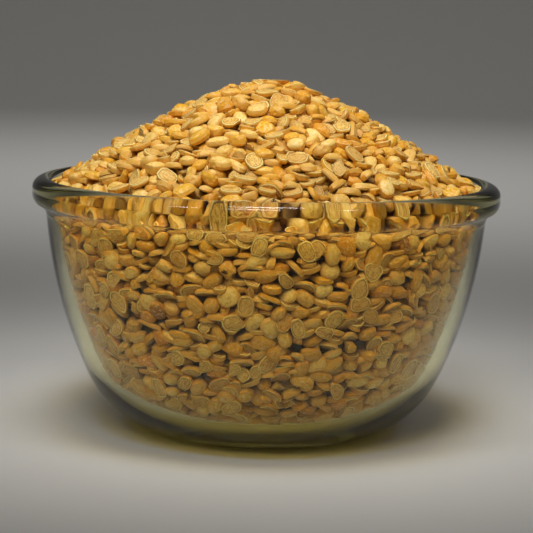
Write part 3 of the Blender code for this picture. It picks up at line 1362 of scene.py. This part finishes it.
@dataclass
class LentilHeap:
    """The loose grains, joined into one piece for each kind, over a dark core of painted shade.

    A grain's own shape is uneven by ripples round its outline, a taper, a bend and a dished cut
    face, in shares of its sides. A share of them, snapped, have one end broken off at snap_at.
    """

    form: HeapForm
    top: float
    core_inset: float = 3.9 * MM
    glass_gap: float = 0.04 * MM
    core_dent: float = 0.8 * MM
    core_steps: int = 120
    shape_seed: int = 17
    ripples: tuple = (2, 3, 5)
    unevenness: float = 0.032
    taper: float = 0.10
    bend: float = 0.22
    bend_across: float = 0.5
    bend_level: float = 0.06
    dish: tuple = (0.05, 0.06)
    cut_face_below: float = -0.4
    snapped: float = 0.10
    snap_at: tuple = (0.22, 0.42)
    past_end: float = 0.6
    snap_slope: float = 0.25
    # Where the painted shade deep among the grains begins and is full.
    bright_depth: float = 0.4 * MM
    dark_depth: float = 2.4 * MM
    skin_depth_share: float = 0.55
    sharp_angle: float = math.radians(38.0)
    finish: LentilSkin = LentilSkin()
    shade: HeapShade = HeapShade()

    def build(self) -> list[bpy.types.Object]:
        """Pack the grains, join each kind into a piece and put the core inside them.

        Returns:
            The pieces.
        """
        packing = GrainPacking(self.form)
        batch = packing.run()
        skin = self.finish.material()
        model = GrainModel()
        draw = np.random.default_rng(self.shape_seed)
        pieces = []
        for number, kind in enumerate(packing.kinds):
            rows = np.nonzero(batch.kinds == number)[0]
            piece = self.joined(kind, batch, rows, model.unit_mesh(kind), draw)
            finish_piece(piece, kind.value, skin)
            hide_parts("lentils")
            pieces.append(piece)
        return pieces + [self.core()]

    def uneven(self, points: np.ndarray, count: int, draw: np.random.Generator) -> np.ndarray:
        """Copy a unit grain, each copy with its own slight bend, taper and uneven outline.

        Args:
            points: The unit grain's points.
            count: How many copies to make.
            draw: Where random numbers come from.

        Returns:
            Each copy's points.
        """
        x, y, z = points.T
        bearing = np.arctan2(y, x)
        shapes = np.repeat(points[None], count, axis=0)
        for waves in self.ripples:
            phase = draw.uniform(0.0, math.tau, count)[:, None]
            size = draw.normal(0.0, self.unevenness / math.sqrt(waves - 1), count)[:, None]
            shapes[:, :, :2] *= 1.0 + (size * np.cos(waves * bearing + phase))[:, :, None]
        taper = draw.normal(0.0, self.taper, count)[:, None]
        shapes[:, :, 1] *= 1.0 + taper * x * 2.0
        bend = draw.normal(0.0, self.bend, count)[:, None]
        shapes[:, :, 2] += bend * (x * x - self.bend_level) + self.bend_across * bend * y * y
        dish = draw.normal(*self.dish, count)[:, None]
        shapes[:, :, 2] += dish * (1.0 - 4.0 * (x * x + y * y)) * (z < self.cut_face_below)
        snapped = draw.uniform(0.0, 1.0, count) < self.snapped
        end = np.where(snapped, draw.uniform(*self.snap_at, count), self.past_end)
        slope = self.snap_slope * shapes[:, :, 1]
        shapes[:, :, 0] = np.minimum(shapes[:, :, 0], end[:, None] + slope)
        return shapes

    def kept_inside(self, points: np.ndarray) -> np.ndarray:
        """Bring corners that would cut into the glass back to its inside, and keep the heap's top.

        Args:
            points: The grains' points.

        Returns:
            The points, moved where they have to be.
        """
        to_glass, way, _, _ = self.form.depths(points)
        inside = points - way * np.maximum(self.glass_gap - to_glass, 0.0)[:, None]
        inside[:, 2] = np.minimum(inside[:, 2], self.top)
        return inside

    def painted_shade(self, points: np.ndarray) -> np.ndarray:
        """Work out how much painted shade points get for lying deep in the grains.

        Args:
            points: The grains' points.

        Returns:
            0 for those that the light reaches, 1 for those that it doesn't.
        """
        to_glass, _, to_skin, _ = self.form.depths(points)
        deep = np.minimum(to_glass, self.skin_depth_share * to_skin)
        return np.clip((deep - self.bright_depth) / (self.dark_depth - self.bright_depth), 0.0, 1.0)

    def joined(
        self,
        kind: GrainKind,
        batch: GrainBatch,
        rows: np.ndarray,
        unit: tuple[np.ndarray, np.ndarray, np.ndarray],
        draw: np.random.Generator,
    ) -> bpy.types.Object:
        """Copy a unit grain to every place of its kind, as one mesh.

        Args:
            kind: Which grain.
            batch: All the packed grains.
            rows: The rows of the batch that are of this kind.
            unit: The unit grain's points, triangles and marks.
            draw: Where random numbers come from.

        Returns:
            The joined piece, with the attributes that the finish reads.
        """
        points, faces, marks = unit
        count, size = len(rows), len(points)
        shapes = self.uneven(points, count, draw) * batch.sizes[rows][:, None]
        world = np.einsum("nij,nkj->nki", batch.turns[rows], shapes) + batch.places[rows][:, None]
        world = self.kept_inside(world.reshape(-1, 3))
        triangles = (faces[None] + size * np.arange(count)[:, None, None]).reshape(-1, 3)
        mesh = triangle_mesh(kind.value, world, triangles)
        random = np.repeat(draw.uniform(0.0, 1.0, (count, 3)), size, axis=0)
        # The third number of lentil_edge is the share of painted shade, for points deep among the grains.
        edge = np.column_stack([np.tile(marks, (count, 1)), self.painted_shade(world)])
        add_vectors(mesh, "lentil_place", np.tile(points * 2.0, (count, 1)))
        add_vectors(mesh, "lentil_edge", edge)
        add_vectors(mesh, "lentil_draw", random)
        begin_piece()
        obj = bpy.data.objects.new(kind.value, mesh)
        bpy.context.scene.collection.objects.link(obj)
        obj.select_set(True)
        bpy.context.view_layer.objects.active = obj
        bpy.ops.object.shade_smooth_by_angle(angle=self.sharp_angle)
        return obj

    def core(self) -> bpy.types.Object:
        """Make a dented solid just inside the grains, which fills the gaps between them with painted
        shade.

        Returns:
            The core.
        """
        outline = [tuple(point) for point in self.form.outline(self.core_inset)]
        core = turned("heap_core", outline, self.core_steps)
        draw = np.random.default_rng(self.shape_seed + 1)
        count = len(core.data.vertices)
        normals = np.empty(count * 3, np.float32)
        core.data.vertices.foreach_get("normal", normals)
        points = np.empty(count * 3, np.float32)
        core.data.vertices.foreach_get("co", points)
        dents = draw.uniform(0.0, self.core_dent, count)
        points = points.reshape(-1, 3) - normals.reshape(-1, 3) * dents[:, None].astype(np.float32)
        core.data.vertices.foreach_set("co", points.ravel())
        core.data.shade_smooth()
        finish_piece(core, "heap_core", self.shade.material())
        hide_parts("lentils")
        return core


# The studio


@dataclass(frozen=True)
class SoftLamp:
    """A soft lamp with a grid: its size in metres, its power in watts, its spread in degrees."""

    name: str
    size: tuple
    power: float
    spread: float
    colour: tuple = (1.0, 0.985, 0.96)

    def hang(self, place: Vector, aim: Vector) -> None:
        """Add the lamp to the scene.

        Args:
            place: Where it hangs.
            aim: The point that it faces.
        """
        light = bpy.data.lights.new(self.name, "AREA")
        light.shape = "RECTANGLE"
        light.size, light.size_y = self.size
        light.spread = math.radians(self.spread)
        light.energy = self.power
        light.color = self.colour
        obj = bpy.data.objects.new(self.name, light)
        obj.location = place
        obj.rotation_euler = (aim - place).to_track_quat("-Z", "Y").to_euler()
        bpy.context.scene.collection.objects.link(obj)


@dataclass
class Studio:
    """The floor with its round backdrop, the lamps and the camera.

    Each of heap_lamps is a bearing, in degrees round the bowl from the camera's side towards the
    right, a rise in degrees above level, and the lamp that hangs there and faces the rim's middle.
    """

    bowl_height: float
    heap_lamps: tuple = (
        (-8.0, 47.0, SoftLamp("key", (0.20, 0.08), 0.0380, 30.0)),
        (-44.0, 42.0, SoftLamp("left_side", (0.10, 0.08), 0.0085, 30.0)),
        (48.0, 44.0, SoftLamp("right_side", (0.08, 0.08), 0.0075, 30.0)),
        (1.0, 74.0, SoftLamp("overhead", (0.20, 0.12), 0.0780, 40.0)),
        (-8.0, 22.0, SoftLamp("front_strip", (0.30, 0.05), 0.0030, 32.0)),
    )
    backdrop_lamp: SoftLamp = SoftLamp("backdrop", (0.4, 0.2), 1.4, 110.0)
    backdrop_lamp_place: tuple = (0.0, 0.30, 0.7)
    backdrop_lamp_aim: tuple = (0.0, 0.9, 0.0)
    glow: tuple = (1.0, 0.97, 0.93, 1.0)
    glow_strength: float = 0.11
    camera_distance: float = 438.0 * MM
    camera_rise: float = 41.4 * MM
    aim_drop: float = 21.0 * MM
    aim_side: float = 0.4 * MM
    roll: float = math.radians(1.25)
    focal_pixels: float = 1860.7
    frame_pixels: float = 533.0
    sensor: float = 36.0
    nearest: float = 10.0 * MM
    lamp_reach: float = 0.48
    floor_radius: float = 1.3
    sweep_radius: float = 0.5
    sweep_height: float = 1.5
    sweep_steps: int = 13
    floor_steps: int = 96
    paper: StagePaper = StagePaper()

    def build(self) -> None:
        """Set up the whole studio."""
        self.floor()
        self.lamps()
        self.world()
        self.camera()

    def floor(self) -> None:
        """Lay a wide round floor that sweeps up into a backdrop on every side."""
        section = [(0.0, 0.0), (self.floor_radius, 0.0)]
        for angle in np.linspace(0.0, math.pi / 2, self.sweep_steps)[1:]:
            reach = self.floor_radius + self.sweep_radius * math.sin(angle)
            section.append((reach, self.sweep_radius * (1.0 - math.cos(angle))))
        section.append((self.floor_radius + self.sweep_radius, self.sweep_height))
        floor = turned("studio_floor", section, self.floor_steps)
        floor.data.shade_smooth()
        floor.data.materials.append(self.paper.material())

    def lamps(self) -> None:
        """Hang the lamps round the heap and the one for the backdrop."""
        aim = Vector((0.0, 0.0, self.bowl_height))
        for bearing, rise, lamp in self.heap_lamps:
            around, above = math.radians(bearing), math.radians(rise)
            level, up = self.lamp_reach * math.cos(above), self.lamp_reach * math.sin(above)
            way = Vector((level * math.sin(around), -level * math.cos(around), up))
            lamp.hang(aim + way, aim)
        self.backdrop_lamp.hang(Vector(self.backdrop_lamp_place), Vector(self.backdrop_lamp_aim))

    def world(self) -> None:
        """Add even light that comes in over the backdrop's edge."""
        world = bpy.data.worlds.new("studio")
        world.use_nodes = True
        tree = ShaderTree(world.node_tree)
        settings = {"Color": self.glow, "Strength": self.glow_strength}
        glow = tree.node("ShaderNodeBackground", settings)
        tree.node("ShaderNodeOutputWorld", {"Surface": glow.outputs[0]})
        bpy.context.scene.world = world
        bpy.context.scene.view_settings.view_transform = "Standard"

    def camera(self) -> None:
        """Place the photograph's camera: a long lens a little above the rim, slightly rolled."""
        data = bpy.data.cameras.new("camera")
        data.sensor_width = self.sensor
        data.lens = self.focal_pixels / self.frame_pixels * self.sensor
        data.clip_start = self.nearest
        camera = bpy.data.objects.new("camera", data)
        place = Vector((0.0, -self.camera_distance, self.bowl_height + self.camera_rise))
        aim = Vector((self.aim_side, 0.0, self.bowl_height - self.aim_drop))
        look = (aim - place).to_track_quat("-Z", "Y").to_matrix().to_4x4()
        camera.matrix_world = Matrix.Translation(place) @ look @ Matrix.Rotation(self.roll, 4, "Z")
        bpy.context.scene.collection.objects.link(camera)
        bpy.context.scene.camera = camera


def main() -> None:
    """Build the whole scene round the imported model."""
    logging.basicConfig(level=logging.INFO, format="%(message)s")
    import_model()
    low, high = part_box("bowl")
    bowl = BowlForm(height=high.z, crest_radius=(high.x - low.x) / 2.0)
    heap_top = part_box("lentils")[1].z
    heap = HeapForm(bowl, peak=heap_top)
    GlassBowl(bowl).build()
    LentilHeap(heap, top=heap_top).build()
    Studio(bowl.height).build()


if __name__ == "__main__":
    main()
